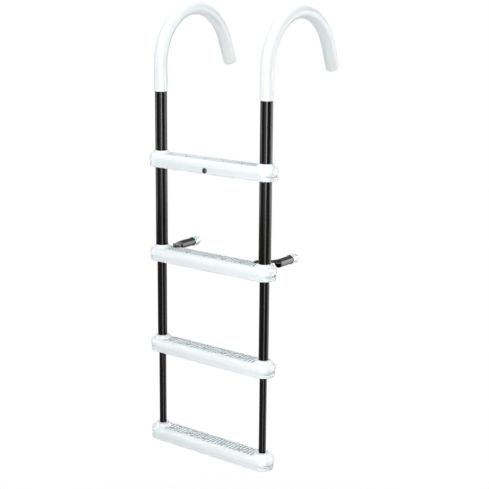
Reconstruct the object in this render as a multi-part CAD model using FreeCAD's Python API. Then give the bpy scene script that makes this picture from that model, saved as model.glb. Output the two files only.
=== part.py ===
import FreeCAD, Part

import math
import os

# Hook-on boat ladder: two bent rails hang over a gunwale, and four moulded steps join them.
# Below the second step two pairs of thinner tubes telescope upwards, and a pair of short
# stand-off arms on the second step folds inwards.
# Millimetres. +X runs along the steps, +Y towards the boat, +Z up. The origin lies midway
# between the undersides of the two hooks at their crowns, where they bear on the gunwale.

V = FreeCAD.Vector
UP = V(0, 0, 1)
BACK = V(0, 1, 0)
ACROSS = V(1, 0, 0)
SIDES = (("left", -1), ("right", 1))

# Which step carries what, counted from the top
STEPS = (1, 2, 3, 4)
STUD_STEP = 1
STANDOFF_STEP = 2
RAIL_FOOT_STEP = 2
MIDDLE_FOOT_STEP = 3
LOWER_FOOT_STEP = 4

# Driving dimensions of the ladder
RAIL_SPACING = 338.5
STEP_PITCH = 254.0
GUNWALE_TO_FIRST_STEP = 354.5

# Tubes
RAIL_OD = 31.75
MIDDLE_OD = 25.4
LOWER_OD = 19.05
TUBE_WALL = 1.6

# Hooks
HOOK_BEND_RADIUS = 140.5
HOOK_FLARE_DEG = 22.0
HOOK_LEG = 68.0
SLEEVE_WALL = 1.3
SLEEVE_TAIL = 70.0
SLEEVE_TIP = 2.5

# Steps
STEP_DEPTH = 62.0
TREAD_HEIGHT = 17.5
BASE_HEIGHT = 18.0
SHOULDER_RADIUS = 10.5
BASE_INSET = 1.2
BASE_EDGE_RADIUS = 4.0
STEP_WALL = 2.8
COLLAR_BASE_OD = 47.0
COLLAR_TOP_OD = 36.5
COLLAR_HEIGHT = 7.0
END_POCKET_HEIGHT = 8.0
END_POCKET_DEPTH = 5.2
END_POCKET_HALF_DEG = 66.0

# Tread pattern
BAY_COUNT = 5
RIBS_PER_BAY = 6
FIELD_RIM = 11.0
FIELD_END = 21.5
FIELD_DEPTH = 1.6
FIELD_FLOOR = 2.4
FIELD_BORDER = 3.4
RIB_WIDTH = 4.4
RIB_DROP = 0.7
TICK_LENGTH = 8.5
SHORT_RIB_LENGTH = 17.0
HOOK_RIB_RADIUS = 6.5
SLOT_WIDTH = 4.6
SLOT_LENGTH = 5.0
SLOT_OFFSET = 2.5
RIM_GROOVE_WIDTH = 1.0
RIM_GROOVE_OFFSET = 3.2

# Bushes, guides and adapters
BUSH_FLANGE = 8.0
BUSH_SPIGOT = 25.0
GUIDE_LENGTH = 15.0
ADAPTER_PROUD = 0.8

# Button stud on the first step
STUD_HEAD_RADIUS = 7.0
STUD_HEAD_THICKNESS = 4.0
STUD_SHANK_RADIUS = 3.0
STUD_SHANK_LENGTH = 10.0

# Stand-off arms
PIVOT_INSET = 35.0
PIVOT_EDGE = 11.0
PIVOT_PIN_RADIUS = 3.0
PIVOT_PIN_DEPTH = 11.0
PIVOT_HEAD_RADIUS = 5.0
PIVOT_HEAD_HEIGHT = 2.4
PIVOT_PAD_RADIUS = 12.0
ARM_OFFSET = 29.0
ARM_REACH = 126.0
ARM_OD = 22.2
ARM_START = 48.0
TONGUE_WIDTH = 22.0
TONGUE_THICKNESS = 2.6
TONGUE_END_OUT = 17.0
TONGUE_END_BACK = 21.0
CAP_LENGTH = 25.0
CAP_WALL = 1.5
CAP_END = 5.0
CAP_ROUND = 5.0

# Clearances, all radial or along one axis
SEAT_GAP = 0.1
SLIDE_GAP = 0.25
PIN_GAP = 0.1
STOP_GAP = 0.3
FOLD_GAP = 0.3

# Derived places
RAIL_Y = -HOOK_BEND_RADIUS
HALF_SPACING = RAIL_SPACING / 2
RAIL_RADIUS = RAIL_OD / 2
SLEEVE_RADIUS = RAIL_RADIUS + SEAT_GAP + SLEEVE_WALL
BEND_CENTRE_Z = SLEEVE_RADIUS - HOOK_BEND_RADIUS
STEP_RADIUS = STEP_DEPTH / 2
BASE_RADIUS = STEP_RADIUS - BASE_INSET
BORE_RADIUS = RAIL_RADIUS + SEAT_GAP
BOSS_RADIUS = BORE_RADIUS + STEP_WALL
COLLAR_BASE_RADIUS = COLLAR_BASE_OD / 2
FIELD_REACH = HALF_SPACING - FIELD_END
FIELD_HALF_WIDTH = STEP_RADIUS - FIELD_RIM
BAY_LENGTH = 2 * FIELD_REACH / BAY_COUNT
RIB_PITCH = BAY_LENGTH / RIBS_PER_BAY
PIVOT_Y = RAIL_Y + STEP_RADIUS - PIVOT_EDGE
PIVOT_X = HALF_SPACING - PIVOT_INSET


def rim_z(step):
    """Height of the walking surface of step 1 to 4."""
    return -GUNWALE_TO_FIRST_STEP - (step - 1) * STEP_PITCH


def bottom_z(step):
    """Height of the underside of step 1 to 4."""
    return rim_z(step) - TREAD_HEIGHT - BASE_HEIGHT


def cylinder(radius, centre, low, high):
    """Upright cylinder about a point in plan, between two heights."""
    return Part.makeCylinder(radius, high - low, V(centre.x, centre.y, low), UP)


def ring(inner, outer, centre, low, high):
    """Upright round tube between two heights."""
    return cylinder(outer, centre, low, high).cut(cylinder(inner, centre, low, high))


def box(x_low, x_high, y_low, y_high, z_low, z_high):
    """Box between two corners."""
    return Part.makeBox(x_high - x_low, y_high - y_low, z_high - z_low, V(x_low, y_low, z_low))


def capsule(start, end, radius, low, high):
    """Upright prism whose plan is a straight slot between two points with round ends."""
    along = (end - start).normalize()
    beside = UP.cross(along) * radius
    first = V(start.x, start.y, low)
    last = V(end.x, end.y, low)
    edges = [
        Part.LineSegment(first - beside, last - beside),
        Part.Arc(last - beside, last + along * radius, last + beside),
        Part.LineSegment(last + beside, first + beside),
        Part.Arc(first + beside, first - along * radius, first - beside),
    ]
    wire = Part.Wire([edge.toShape() for edge in edges])
    return Part.Face(wire).extrude(UP * (high - low))


def edges_at(shape, height):
    """Edges of a solid that lie wholly at one height."""
    near = 1e-6
    return [e for e in shape.Edges if all(abs(v.Z - height) < near for v in e.Vertexes)]


def rail_point(side):
    """Plan position of a rail axis."""
    return V(side * HALF_SPACING, RAIL_Y, 0)


def slot_body(radius, low, high):
    """Step outline with round ends about both rail axes."""
    return capsule(rail_point(-1), rail_point(1), radius, low, high)


def hook_piece(inner, outer, side, low, leg):
    """Round tube that runs up a rail, over the hook's bend and down its flared leg."""
    start = V(side * HALF_SPACING, RAIL_Y, low)
    bend_start = V(start.x, RAIL_Y, BEND_CENTRE_Z)
    sweep_deg = 180.0 - HOOK_FLARE_DEG
    section = annulus(inner, outer, start)
    straight = section.extrude(bend_start - start)
    bend_section = annulus(inner, outer, bend_start)
    bend_centre = V(start.x, 0, BEND_CENTRE_Z)
    bend = bend_section.revolve(bend_centre, -ACROSS, sweep_deg)
    leg_section = annulus(inner, outer, bend_start)
    leg_section.rotate(bend_centre, -ACROSS, sweep_deg)
    flare = math.radians(HOOK_FLARE_DEG)
    tail = leg_section.extrude(V(0, math.sin(flare), -math.cos(flare)) * leg)
    return straight.fuse([bend, tail]).removeSplitter()


def annulus(inner, outer, centre):
    """Flat ring face, or a disc when the inner radius is zero."""
    rim = Part.Wire(Part.makeCircle(outer, centre, UP))
    if inner <= 0:
        return Part.Face(rim)
    return Part.Face(rim).cut(Part.Face(Part.Wire(Part.makeCircle(inner, centre, UP))))


def rail(side):
    """Main tube: from inside the second step up to the hook's tip."""
    low = bottom_z(RAIL_FOOT_STEP) + BUSH_FLANGE
    return hook_piece(RAIL_RADIUS - TUBE_WALL, RAIL_RADIUS, side, low, HOOK_LEG)


def hook_sleeve(side):
    """Soft sleeve over the hook, closed at the tip."""
    low = BEND_CENTRE_Z - SLEEVE_TAIL
    outside = hook_piece(0, SLEEVE_RADIUS, side, low, HOOK_LEG + SEAT_GAP + SLEEVE_TIP)
    inside = hook_piece(0, RAIL_RADIUS + SEAT_GAP, side, low, HOOK_LEG + SEAT_GAP)
    return outside.cut(inside)


def bay_start(bay):
    """X of the left edge of a tread bay."""
    return (bay - BAY_COUNT / 2) * BAY_LENGTH


def tread_ribs(low, high):
    """Raised grip pattern of every bay.

    In order from its left edge a bay has a straight rib, two short ribs with a tick in front,
    a hooked rib and two more straight ribs. The first straight rib of the left bay is left out,
    because the field's end wall stands there.
    """
    back = RAIL_Y + FIELD_HALF_WIDTH - FIELD_BORDER
    front = RAIL_Y - FIELD_HALF_WIDTH + FIELD_BORDER
    half = RIB_WIDTH / 2
    ribs = []
    for bay in range(BAY_COUNT):
        lines = [bay_start(bay) + rib * RIB_PITCH for rib in range(RIBS_PER_BAY)]
        straight = [lines[0], lines[4], lines[5]] if bay > 0 else [lines[4], lines[5]]
        for x in straight:
            ribs.append(box(x - half, x + half, front, back, low, high))
        for x in (lines[1], lines[2]):
            ribs.append(box(x - half, x + half, back - SHORT_RIB_LENGTH, back, low, high))
        ribs.append(hooked_rib(lines[3], front, back, low, high))
        tick = TICK_LENGTH / 2
        ribs.append(box(lines[1] - tick, lines[1] + tick, front, front + RIB_WIDTH, low, high))
    return ribs


def hooked_rib(x, front, back, low, high):
    """Full rib whose front end turns to the left under its two short neighbours."""
    half = RIB_WIDTH / 2
    outer = HOOK_RIB_RADIUS + half
    inner = HOOK_RIB_RADIUS - half
    centre = V(x - HOOK_RIB_RADIUS, front + outer, 0)
    quarter = box(centre.x, centre.x + outer, front, centre.y, low, high)
    bend = ring(inner, outer, centre, low, high).common(quarter)
    stem = box(x - half, x + half, centre.y, back, low, high)
    foot = box(centre.x - half, centre.x, front, front + RIB_WIDTH, low, high)
    return stem.fuse([bend, foot]).removeSplitter()


def rim_cuts(top):
    """Drain slots through the rear rim at the lines between bays, and the fine groove along it."""
    half = SLOT_WIDTH / 2
    rear = RAIL_Y + FIELD_HALF_WIDTH
    slot_start = rear + SLOT_OFFSET
    slot_low = top - SHOULDER_RADIUS
    cuts = []
    for bay in range(1, BAY_COUNT):
        x = bay_start(bay)
        cuts.append(box(x - half, x + half, slot_start, slot_start + SLOT_LENGTH, slot_low, top))
    groove = rear + RIM_GROOVE_OFFSET
    low = top - FIELD_DEPTH
    reach = HALF_SPACING - COLLAR_BASE_RADIUS
    cuts.append(box(-reach, reach, groove, groove + RIM_GROOVE_WIDTH, low, top))
    return cuts


def step_cavity(radius, low, high):
    """Hollow between the two rail bosses of a step moulding."""
    reach = HALF_SPACING - BOSS_RADIUS
    half = radius - STEP_WALL
    return box(-reach, reach, RAIL_Y - half, RAIL_Y + half, low, high)


def step_tread(step):
    """Upper moulding of a step: shoulder, rail collars and ribbed field over a hollow."""
    top = rim_z(step)
    seam = top - TREAD_HEIGHT
    body = slot_body(STEP_RADIUS, seam, top)
    body = body.makeFillet(SHOULDER_RADIUS, edges_at(body, top))
    collars = []
    for _, side in SIDES:
        centre = rail_point(side)
        foot = V(centre.x, centre.y, top - FIELD_DEPTH)
        slope = (COLLAR_BASE_OD - COLLAR_TOP_OD) / 2 / COLLAR_HEIGHT
        foot_radius = COLLAR_BASE_RADIUS + slope * FIELD_DEPTH
        height = COLLAR_HEIGHT + FIELD_DEPTH
        collars.append(Part.makeCone(foot_radius, COLLAR_TOP_OD / 2, height, foot, UP))
    floor = top - FIELD_DEPTH
    front = RAIL_Y - FIELD_HALF_WIDTH
    back = RAIL_Y + FIELD_HALF_WIDTH
    field = box(-FIELD_REACH, FIELD_REACH, front, back, floor, top)
    body = body.cut([field] + rim_cuts(top))
    raised = tread_ribs(floor, top - RIB_DROP)
    if step == STANDOFF_STEP:
        raised = clear_of_pads(raised, field)
    body = body.fuse(collars + raised)
    cavity_top = floor - FIELD_FLOOR
    cavity = step_cavity(STEP_RADIUS, seam, cavity_top)
    long_edges = [e for e in edges_at(cavity, cavity_top) if e.Length > STEP_DEPTH]
    cavity = cavity.makeFillet(SHOULDER_RADIUS - STEP_WALL, long_edges)
    if step == STANDOFF_STEP:
        cavity = cavity.cut([pivot_boss(side, seam, cavity_top) for _, side in SIDES])
    body = body.cut(cavity)
    low = seam - SEAT_GAP
    bores = [cylinder(BORE_RADIUS, rail_point(s), low, top + 2 * COLLAR_HEIGHT) for _, s in SIDES]
    if step == STANDOFF_STEP:
        bores += [pivot_hole(side, top) for _, side in SIDES]
    return body.cut(bores).removeSplitter()


def pivot_point(side):
    """Plan position of a stand-off pivot."""
    return V(side * PIVOT_X, PIVOT_Y, 0)


def clear_of_pads(ribs, field):
    """Ribs cut back round the two pivot pads, with the pads added inside the field."""
    floor = field.BoundBox.ZMin
    top = field.BoundBox.ZMax
    clear = PIVOT_PAD_RADIUS + RIB_WIDTH / 2
    pads = [cylinder(PIVOT_PAD_RADIUS, pivot_point(s), floor, top) for _, s in SIDES]
    rings = [cylinder(clear, pivot_point(s), floor, top) for _, s in SIDES]
    return [rib.cut(rings) for rib in ribs] + [pad.common(field) for pad in pads]


def pivot_boss(side, low, high):
    """Solid column under a pivot that takes its pin."""
    return cylinder(PIVOT_PIN_RADIUS + STEP_WALL, pivot_point(side), low, high)


def pivot_hole(side, top):
    """Blind hole for the pivot pin."""
    low = top - PIVOT_PIN_DEPTH
    return cylinder(PIVOT_PIN_RADIUS + SEAT_GAP, pivot_point(side), low, top + COLLAR_HEIGHT)


def end_pocket(side, seam):
    """Crescent-shaped grip pocket round the end of a step base, just under the seam."""
    centre = rail_point(side)
    low = seam - END_POCKET_HEIGHT
    tip_x = BASE_RADIUS * math.cos(math.radians(END_POCKET_HALF_DEG))
    deepest = BASE_RADIUS - END_POCKET_DEPTH
    shift = (BASE_RADIUS ** 2 - deepest ** 2) / (deepest - tip_x) / 2
    kept_centre = centre - ACROSS * (side * shift)
    outside = cylinder(BASE_RADIUS + BASE_INSET, centre, low, seam)
    return outside.cut(cylinder(deepest + shift, kept_centre, low, seam))


def step_base(step):
    """Lower moulding of a step: a tray with solid ends bored for the rails."""
    low = bottom_z(step)
    seam = low + BASE_HEIGHT
    body = slot_body(BASE_RADIUS, low, seam)
    body = body.makeFillet(BASE_EDGE_RADIUS, edges_at(body, low))
    cuts = [step_cavity(BASE_RADIUS, low + STEP_WALL, seam)]
    cuts += [cylinder(BORE_RADIUS, rail_point(s), low, seam) for _, s in SIDES]
    cuts += [end_pocket(s, seam) for _, s in SIDES]
    if step == STUD_STEP:
        cuts.append(stud_hole(seam))
    return body.cut(cuts).removeSplitter()


def stud_axis(seam):
    """Point on the front face of the first step's base where the stud stands."""
    return V(0, RAIL_Y - BASE_RADIUS, seam - BASE_HEIGHT / 2)


def stud_hole(seam):
    """Hole through the front wall for the stud's shank."""
    start = stud_axis(seam) - BACK * STEP_WALL
    return Part.makeCylinder(STUD_SHANK_RADIUS + SEAT_GAP, 3 * STEP_WALL, start, BACK)


def step_stud():
    """Round-headed button that a strap loops over."""
    face = stud_axis(bottom_z(STUD_STEP) + BASE_HEIGHT)
    head = Part.makeCylinder(STUD_HEAD_RADIUS, STUD_HEAD_THICKNESS, face, -BACK)
    outer = [e for e in head.Edges if abs(e.CenterOfMass.y - (face.y - STUD_HEAD_THICKNESS)) < 1e-6]
    head = head.makeFillet(STUD_HEAD_THICKNESS * 0.7, outer)
    shank = Part.makeCylinder(STUD_SHANK_RADIUS, STUD_SHANK_LENGTH, face, BACK)
    return head.fuse(shank).removeSplitter()


def bush(side, step, spigot_radius, bore_radius):
    """Guide bush in the underside of a step: flange in the moulding, spigot in the tube above."""
    centre = rail_point(side)
    low = bottom_z(step)
    shoulder = low + BUSH_FLANGE
    flange = cylinder(BORE_RADIUS - SEAT_GAP, centre, low, shoulder)
    spigot = cylinder(spigot_radius, centre, shoulder, shoulder + BUSH_SPIGOT)
    bore = cylinder(bore_radius, centre, low, shoulder + BUSH_SPIGOT)
    return flange.fuse(spigot).cut(bore).removeSplitter()


def sliding_tube(side, step, outer):
    """Tube that stands in one step and runs up into the tube above."""
    low = bottom_z(step) + BUSH_FLANGE
    return ring(outer - TUBE_WALL, outer, rail_point(side), low, guide_z(step) + GUIDE_LENGTH)


def guide_z(step):
    """Underside of the guide ring at the top of a step's sliding tube, at full reach."""
    return bottom_z(step - 1) + BUSH_FLANGE + BUSH_SPIGOT + STOP_GAP


def guide(side, step, inner, outer):
    """Ring at the head of a sliding tube that stops on the bush below it."""
    low = guide_z(step)
    return ring(inner, outer, rail_point(side), low, low + GUIDE_LENGTH)


def adapter(side, step, tube_radius):
    """Sleeve that fills a step's bore round a thinner tube."""
    low = bottom_z(step) + BUSH_FLANGE
    top = rim_z(step) + COLLAR_HEIGHT + ADAPTER_PROUD
    return ring(tube_radius + SEAT_GAP, BORE_RADIUS - SEAT_GAP, rail_point(side), low, top)


def foot_adapter(side):
    """Adapter of the last step, closed below the tube's end."""
    centre = rail_point(side)
    low = bottom_z(LOWER_FOOT_STEP)
    top = rim_z(LOWER_FOOT_STEP) + COLLAR_HEIGHT + ADAPTER_PROUD
    outside = cylinder(BORE_RADIUS - SEAT_GAP, centre, low, top)
    return outside.cut(cylinder(LOWER_OD / 2 + SEAT_GAP, centre, low + BUSH_FLANGE, top))


def standoff_pivot(side):
    """Pin with a low domed head that holds a stand-off arm on the second step."""
    centre = pivot_point(side)
    top = rim_z(STANDOFF_STEP)
    seat = top + FOLD_GAP + TONGUE_THICKNESS + FOLD_GAP
    pin = cylinder(PIVOT_PIN_RADIUS, centre, top - PIVOT_PIN_DEPTH, seat)
    head = cylinder(PIVOT_HEAD_RADIUS, centre, seat, seat + PIVOT_HEAD_HEIGHT)
    crown = edges_at(head, seat + PIVOT_HEAD_HEIGHT)
    head = head.makeFillet(PIVOT_HEAD_HEIGHT * 0.7, crown)
    return pin.fuse(head).removeSplitter()


def arm_axis(side):
    """Point on a stand-off tube's axis level with its pivot, at rest."""
    axis_z = rim_z(STANDOFF_STEP) + FOLD_GAP + TONGUE_THICKNESS - ARM_OD / 2
    return V(side * (PIVOT_X + ARM_OFFSET), PIVOT_Y, axis_z)


def tongue_end(side):
    """Middle of the line where the flat tongue meets the flattened end of its tube."""
    pivot = pivot_point(side)
    return pivot + V(side * TONGUE_END_OUT, TONGUE_END_BACK, 0)


def tongue_corners(side, z):
    """Corners of the tongue's end line, outer one first, at one height."""
    end = tongue_end(side)
    along = (end - pivot_point(side)).normalize()
    beside = along.cross(UP) * (side * TONGUE_WIDTH / 2)
    level = V(0, 0, z)
    return end + beside + level, end - beside + level


def tongue(side, low, high):
    """Flat tongue: a disc about the pivot and a straight strip to the tube's flattened end."""
    pivot = pivot_point(side)
    outer, inner = tongue_corners(side, low)
    shift = pivot - tongue_end(side)
    corners = [outer, inner, inner + shift, outer + shift, outer]
    strip = Part.Face(Part.makePolygon(corners)).extrude(UP * (high - low))
    return cylinder(TONGUE_WIDTH / 2, pivot, low, high).fuse(strip)


def flattened_end(side, start, low, high):
    """Upper half of the tube pressed flat into the end of the tongue."""
    outer = ARM_OD / 2
    inner = outer - TUBE_WALL
    out = ACROSS * side
    half_ring = [
        Part.Arc(start + out * outer, start + UP * outer, start - out * outer),
        Part.LineSegment(start - out * outer, start - out * inner),
        Part.Arc(start - out * inner, start + UP * inner, start + out * inner),
        Part.LineSegment(start + out * inner, start + out * outer),
    ]
    top_out, top_in = tongue_corners(side, high)
    low_out, low_in = tongue_corners(side, low)
    flat = [
        Part.LineSegment(top_out, top_in),
        Part.LineSegment(top_in, low_in),
        Part.LineSegment(low_in, low_out),
        Part.LineSegment(low_out, top_out),
    ]
    wires = [Part.Wire([edge.toShape() for edge in edges]) for edges in (half_ring, flat)]
    return Part.makeLoft(wires, True, True)


def standoff_arm(side):
    """Stand-off tube whose near end is flattened into the tongue that turns on the pivot."""
    axis = arm_axis(side)
    start = axis + BACK * ARM_START
    length = ARM_REACH - ARM_START - CAP_END
    outer = ARM_OD / 2
    tube = Part.makeCylinder(outer, length, start, BACK)
    bore = Part.makeCylinder(outer - TUBE_WALL, length, start, BACK)
    low = rim_z(STANDOFF_STEP) + FOLD_GAP
    high = low + TONGUE_THICKNESS
    flat = tongue(side, low, high)
    neck = flattened_end(side, start, low, high)
    hole = cylinder(PIVOT_PIN_RADIUS + PIN_GAP, pivot_point(side), low, high)
    return tube.cut(bore).fuse([neck, flat]).cut(hole).removeSplitter()


def standoff_cap(side):
    """Soft cap on the far end of a stand-off tube."""
    outer = ARM_OD / 2 + SEAT_GAP + CAP_WALL
    start = arm_axis(side) + BACK * (ARM_REACH - CAP_LENGTH)
    cap = Part.makeCylinder(outer, CAP_LENGTH, start, BACK)
    rim = [e for e in cap.Edges if abs(e.CenterOfMass.y - (start.y + CAP_LENGTH)) < 1e-6]
    cap = cap.makeFillet(CAP_ROUND, rim)
    socket = Part.makeCylinder(ARM_OD / 2 + SEAT_GAP, CAP_LENGTH - CAP_END, start, BACK)
    return cap.cut(socket)


def both_sides(name, make):
    """Left and right copies of a piece under names that end in the side."""
    return {name + "_" + word: make(side) for word, side in SIDES}


def main():
    """Build every piece and write one STEP file for each."""
    rail_bore = RAIL_RADIUS - TUBE_WALL
    middle = MIDDLE_OD / 2
    middle_bore = middle - TUBE_WALL
    lower = LOWER_OD / 2
    pieces = {}
    pieces.update(both_sides("rail", rail))
    pieces.update(both_sides("hook_sleeve", hook_sleeve))
    for step in STEPS:
        pieces["step_%d_tread" % step] = step_tread(step)
        pieces["step_%d_base" % step] = step_base(step)
    pieces["step_1_stud"] = step_stud()
    bushes = (
        (RAIL_FOOT_STEP, rail_bore, middle),
        (MIDDLE_FOOT_STEP, middle_bore, lower),
    )
    for step, bore, passing in bushes:
        name = "step_%d_bush" % step
        spigot = bore - SEAT_GAP
        pieces.update(both_sides(name, lambda s: bush(s, step, spigot, passing + SLIDE_GAP)))
    tubes = (
        ("middle", MIDDLE_FOOT_STEP, middle, rail_bore),
        ("lower", LOWER_FOOT_STEP, lower, middle_bore),
    )
    for word, foot, radius, around in tubes:
        pieces.update(both_sides(word + "_tube", lambda s: sliding_tube(s, foot, radius)))
        inner = radius + SEAT_GAP
        outer = around - SLIDE_GAP
        pieces.update(both_sides(word + "_guide", lambda s: guide(s, foot, inner, outer)))
    pieces.update(both_sides("step_3_collar", lambda s: adapter(s, MIDDLE_FOOT_STEP, middle)))
    pieces.update(both_sides("step_4_collar", foot_adapter))
    pieces.update(both_sides("standoff_pivot", standoff_pivot))
    pieces.update(both_sides("standoff_arm", standoff_arm))
    pieces.update(both_sides("standoff_cap", standoff_cap))
    os.makedirs("parts", exist_ok=True)
    for name, shape in pieces.items():
        shape.exportStep("parts/" + name + ".step")
        print(name, len(shape.Solids), shape.isValid(), round(shape.Volume / 1000, 1))


main()
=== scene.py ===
import logging
import math
from dataclasses import dataclass
from enum import Enum
from functools import reduce
from typing import Any, Iterable, Sequence

import bmesh
import bpy
from mathutils import Matrix, Vector


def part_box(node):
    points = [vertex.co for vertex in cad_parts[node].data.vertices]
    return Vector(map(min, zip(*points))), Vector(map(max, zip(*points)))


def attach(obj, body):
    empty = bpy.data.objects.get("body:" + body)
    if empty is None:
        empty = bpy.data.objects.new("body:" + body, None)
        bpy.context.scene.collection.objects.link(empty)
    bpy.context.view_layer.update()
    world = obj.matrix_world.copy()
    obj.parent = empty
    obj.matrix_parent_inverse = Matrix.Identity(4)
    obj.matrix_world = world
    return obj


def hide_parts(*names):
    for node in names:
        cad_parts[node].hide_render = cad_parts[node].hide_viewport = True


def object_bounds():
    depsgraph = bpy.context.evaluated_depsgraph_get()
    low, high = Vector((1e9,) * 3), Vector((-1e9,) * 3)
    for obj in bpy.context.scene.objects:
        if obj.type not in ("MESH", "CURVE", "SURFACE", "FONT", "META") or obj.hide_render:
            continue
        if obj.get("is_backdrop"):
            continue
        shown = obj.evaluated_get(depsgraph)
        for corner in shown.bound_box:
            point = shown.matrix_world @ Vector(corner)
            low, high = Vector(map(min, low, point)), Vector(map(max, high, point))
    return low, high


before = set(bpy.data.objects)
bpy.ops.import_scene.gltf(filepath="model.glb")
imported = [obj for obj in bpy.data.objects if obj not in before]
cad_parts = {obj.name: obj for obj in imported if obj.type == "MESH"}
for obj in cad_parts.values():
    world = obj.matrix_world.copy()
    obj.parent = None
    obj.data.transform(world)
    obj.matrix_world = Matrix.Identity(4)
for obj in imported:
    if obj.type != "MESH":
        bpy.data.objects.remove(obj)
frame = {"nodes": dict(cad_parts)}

LOG = logging.getLogger("boat_ladder")

Colour = tuple[float, float, float, float]
Band = tuple[float, float, float]
MM = 0.001


class Side(Enum):
    """Left and right of the ladder, as seen from the water."""

    LEFT = -1
    RIGHT = 1

    @property
    def word(self) -> str:
        """Lower-case word that ends the name of a piece on this side."""
        return self.name.lower()


class Grain(Enum):
    """Axis that a tube's draw lines follow, with the turn about X that brings it to Z."""

    UPRIGHT = 0.0
    TO_THE_BOAT = 90.0


class Reach(Enum):
    """What a lamp works on: all that it reaches, reflections alone or shading alone."""

    ALL = "all"
    GLOSS = "gloss"
    SHADING = "shading"


class Wiring:
    """Short way to add and join the nodes of a shader or geometry tree."""

    def __init__(self, tree: bpy.types.NodeTree) -> None:
        """Keeps the tree that the nodes go into."""
        self.tree = tree

    def find(self, kind: str) -> bpy.types.Node:
        """First node of a kind that the tree already has."""
        return next(n for n in self.tree.nodes if n.bl_idname == kind)

    def add(
        self, kind: str, feeds: dict[Any, Any] | None = None, **settings: Any
    ) -> bpy.types.Node:
        """Adds one node.

        Args:
            kind: Blender's type name of the node.
            feeds: What goes into its inputs, by their names or numbers.
            settings: Values for the node's own properties.

        Returns:
            The new node.
        """
        node = self.tree.nodes.new(kind)
        for name, value in settings.items():
            setattr(node, name, value)
        for key, value in (feeds or {}).items():
            self.feed(node.inputs[key], value)
        return node

    def feed(self, socket: bpy.types.NodeSocket, value: Any) -> None:
        """Links a socket to another one, or gives it a constant.

        Args:
            socket: Input socket.
            value: Output socket, number, vector or colour.
        """
        if isinstance(value, bpy.types.NodeSocket):
            self.tree.links.new(value, socket)
        else:
            socket.default_value = value

    def math(self, operation: str, *values: Any, clamp: bool = False) -> bpy.types.NodeSocket:
        """Adds a Math node.

        Args:
            operation: Name of the operation, such as ADD.
            values: Its operands, sockets or numbers.
            clamp: Whether the result is held between 0 and 1.

        Returns:
            The socket with the result.
        """
        feeds = dict(enumerate(values))
        return self.add("ShaderNodeMath", feeds, operation=operation, use_clamp=clamp).outputs[0]

    def plus(self, *values: Any) -> bpy.types.NodeSocket:
        """Sum of sockets or numbers."""
        return reduce(lambda a, b: self.math("ADD", a, b), values)

    def minus(self, first: Any, second: Any) -> bpy.types.NodeSocket:
        """Difference of two sockets or numbers."""
        return self.math("SUBTRACT", first, second)

    def times(self, *values: Any) -> bpy.types.NodeSocket:
        """Product of sockets or numbers."""
        return reduce(lambda a, b: self.math("MULTIPLY", a, b), values)

    def per(self, first: Any, second: Any, clamp: bool = False) -> bpy.types.NodeSocket:
        """Quotient of two sockets or numbers, held between 0 and 1 if clamp is set."""
        return self.math("DIVIDE", first, second, clamp=clamp)

    def least(self, first: Any, second: Any) -> bpy.types.NodeSocket:
        """Lesser of two sockets or numbers."""
        return self.math("MINIMUM", first, second)

    def most(self, first: Any, second: Any) -> bpy.types.NodeSocket:
        """Greater of two sockets or numbers."""
        return self.math("MAXIMUM", first, second)

    def distance(self, dx: Any, dy: Any) -> bpy.types.NodeSocket:
        """Distance of a point from a centre, from its two offsets."""
        return self.math("SQRT", self.plus(self.times(dx, dx), self.times(dy, dy)))

    def under(self, value: Any, limit: float, soft: float) -> bpy.types.NodeSocket:
        """Mask that is 1 under a limit and falls to 0 over a soft edge below it."""
        return self.per(self.minus(limit, value), soft, clamp=True)

    def band(self, value: Any, low: float, high: float, soft: float) -> bpy.types.NodeSocket:
        """Mask that is 1 between two values and falls to 0 at them over soft edges."""
        rise = self.per(self.minus(value, low), soft, clamp=True)
        return self.times(rise, self.under(value, high, soft))

    def mix(self, factor: Any, first: Any, second: Any) -> bpy.types.NodeSocket:
        """Mixes two colours, 0 for the first and 1 for the second."""
        feeds = {0: factor, 6: first, 7: second}
        return self.add("ShaderNodeMix", feeds, data_type="RGBA").outputs[2]

    def mix_shaders(self, factor: Any, first: Any, second: Any) -> bpy.types.NodeSocket:
        """Mixes two shaders, 0 for the first and 1 for the second."""
        return self.add("ShaderNodeMixShader", {0: factor, 1: first, 2: second}).outputs[0]

    def noise(self, place: Any, **inputs: Any) -> bpy.types.NodeSocket:
        """Value of a noise texture at a coordinate, with its other inputs by name."""
        return self.add("ShaderNodeTexNoise", {"Vector": place, **inputs}).outputs[0]

    def bump(
        self, height: Any, strength: float, distance: float, normal: Any
    ) -> bpy.types.NodeSocket:
        """Normal of a surface raised by a height value.

        Args:
            height: Socket with the height.
            strength: Share of the effect.
            distance: Metres that a height of 1 stands for.
            normal: Socket with the normal to start from, or None.

        Returns:
            The socket with the normal.
        """
        feeds = {"Strength": strength, "Distance": distance, "Height": height}
        if normal is not None:
            feeds["Normal"] = normal
        return self.add("ShaderNodeBump", feeds).outputs[0]

    def split(self, vector: Any) -> Sequence[bpy.types.NodeSocket]:
        """X, Y and Z of a vector."""
        return self.add("ShaderNodeSeparateXYZ", {0: vector}).outputs

    def vector(self, x: Any, y: Any, z: Any) -> bpy.types.NodeSocket:
        """Joins three numbers into a vector."""
        return self.add("ShaderNodeCombineXYZ", {0: x, 1: y, 2: z}).outputs[0]

    def position(self) -> Sequence[bpy.types.NodeSocket]:
        """X, Y and Z of the points of the geometry that the result is used on."""
        return self.split(self.add("GeometryNodeInputPosition").outputs[0])

    def placed(self, geometry: Any, x: Any, y: Any, z: Any) -> bpy.types.NodeSocket:
        """Sets the position of every point of a geometry."""
        feeds = {"Geometry": geometry, "Position": self.vector(x, y, z)}
        return self.add("GeometryNodeSetPosition", feeds).outputs[0]

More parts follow.
